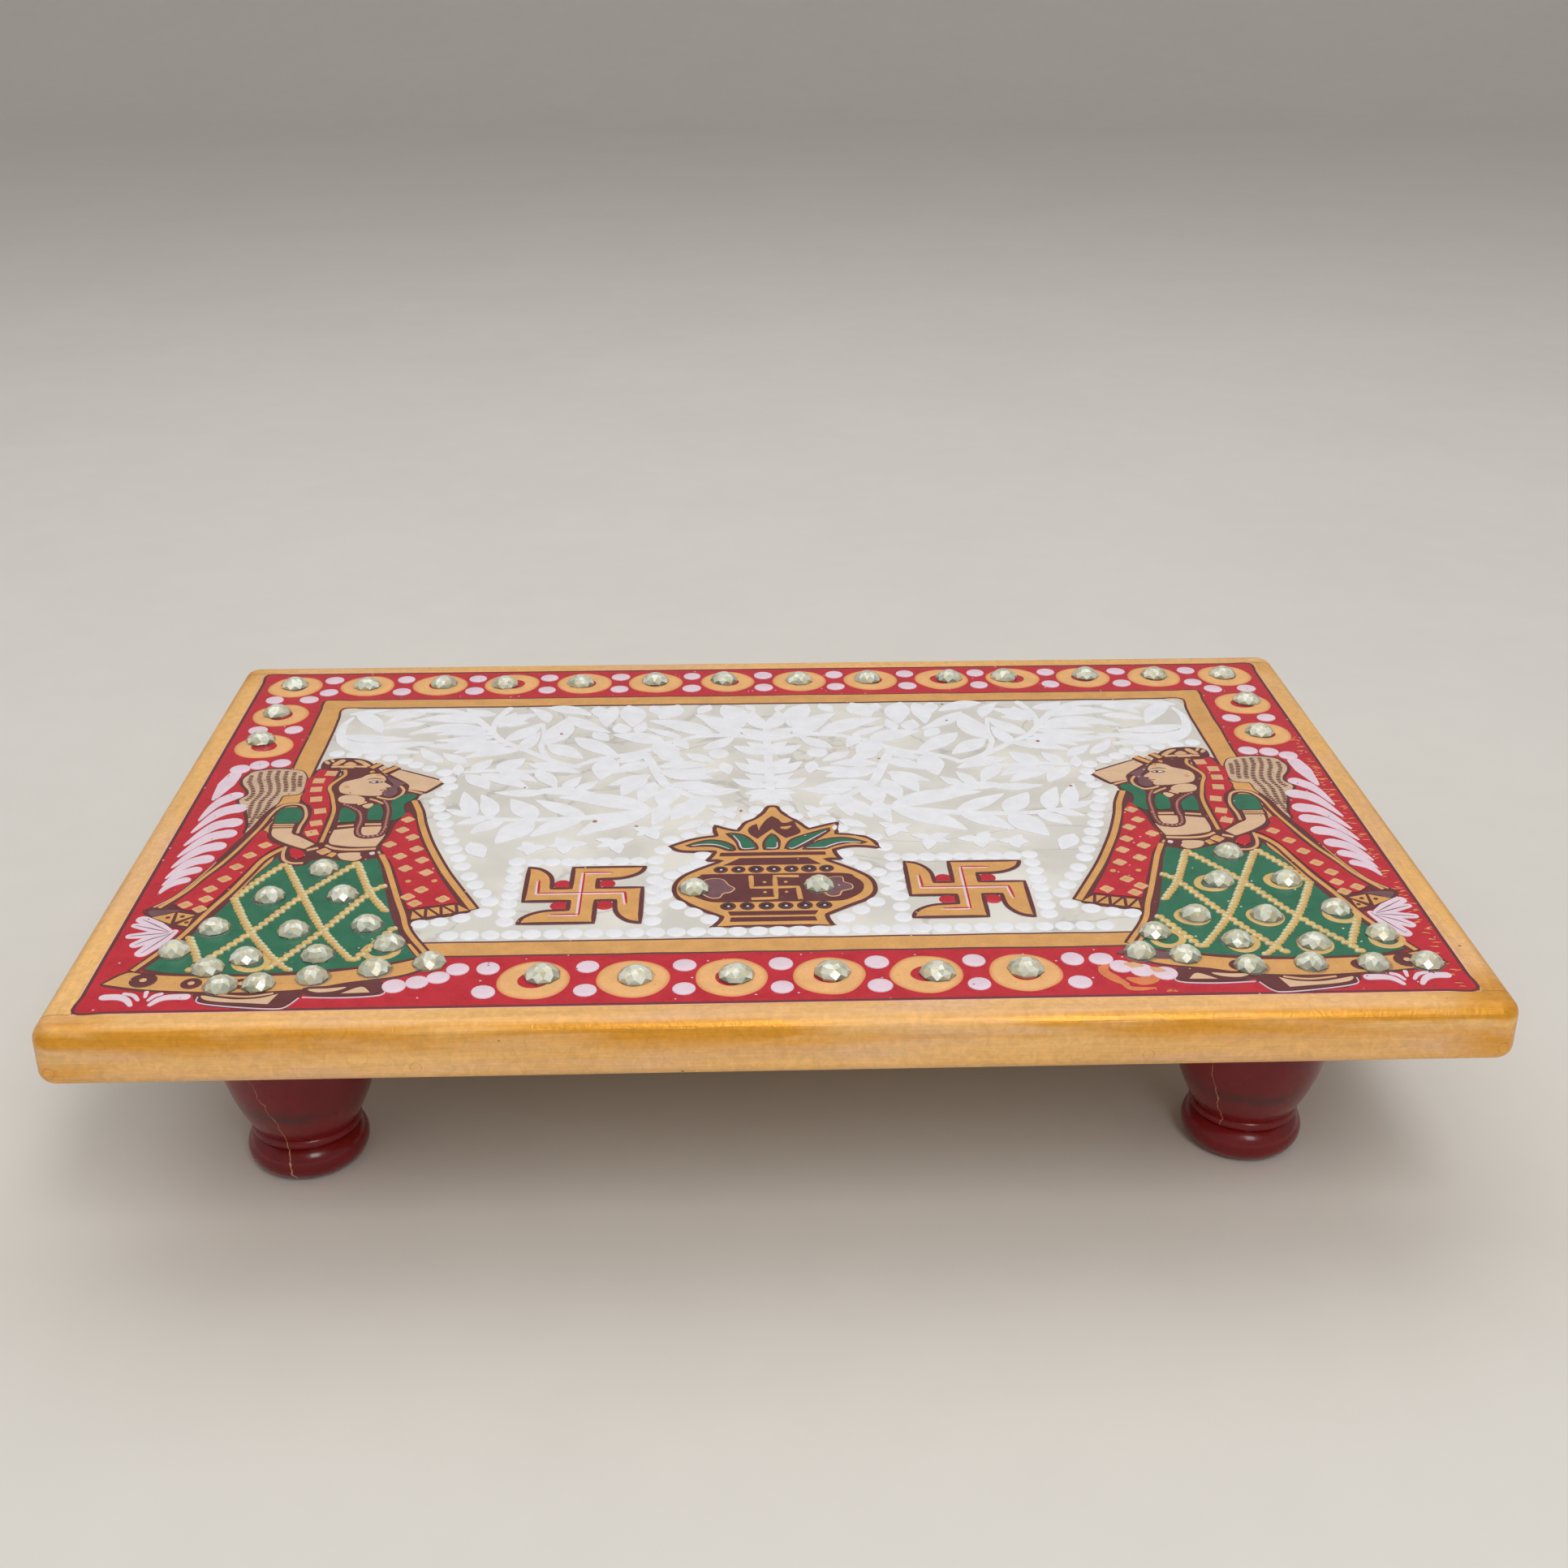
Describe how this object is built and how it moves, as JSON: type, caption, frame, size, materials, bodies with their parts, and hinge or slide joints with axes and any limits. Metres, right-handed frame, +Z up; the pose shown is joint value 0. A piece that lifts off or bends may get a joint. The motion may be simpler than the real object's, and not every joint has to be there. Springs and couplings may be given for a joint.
{
  "type": "low table",
  "caption": "Low rectangular ceremonial table with a painted marble top set with glass stones, gold-painted wooden edge strips and short turned red legs.",
  "frame": {"origin": "on the floor, under the middle of the table top", "axes": "+X along the table's length to the right, +Y from the front edge to the back edge, +Z up"},
  "size_m": [0.3048, 0.2032, 0.0626],
  "materials": {
    "marble": "polished, painted",
    "plywood": "bare, sanded",
    "gold_painted_wood": "brushed metallic paint",
    "red_lacquered_wood": "gloss lacquer",
    "steel": "plain",
    "foiled_glass": "faceted, foil backed"
  },
  "bodies": {
    "root": {"marble_slab": "marble", "base_panel": "plywood", "edge_strip_front": "gold_painted_wood", "edge_strip_back": "gold_painted_wood", "edge_strip_left": "gold_painted_wood", "edge_strip_right": "gold_painted_wood", "leg_front_left": "red_lacquered_wood", "leg_front_right": "red_lacquered_wood", "leg_back_left": "red_lacquered_wood", "leg_back_right": "red_lacquered_wood", "leg_screws": "steel", "strip_brads": "steel", "back_row_stones": "foiled_glass", "front_row_stones": "foiled_glass", "left_side_stones": "foiled_glass", "right_side_stones": "foiled_glass", "pot_stones": "foiled_glass", "left_dancer_stones": "foiled_glass", "right_dancer_stones": "foiled_glass"}
  },
  "joints": []
}
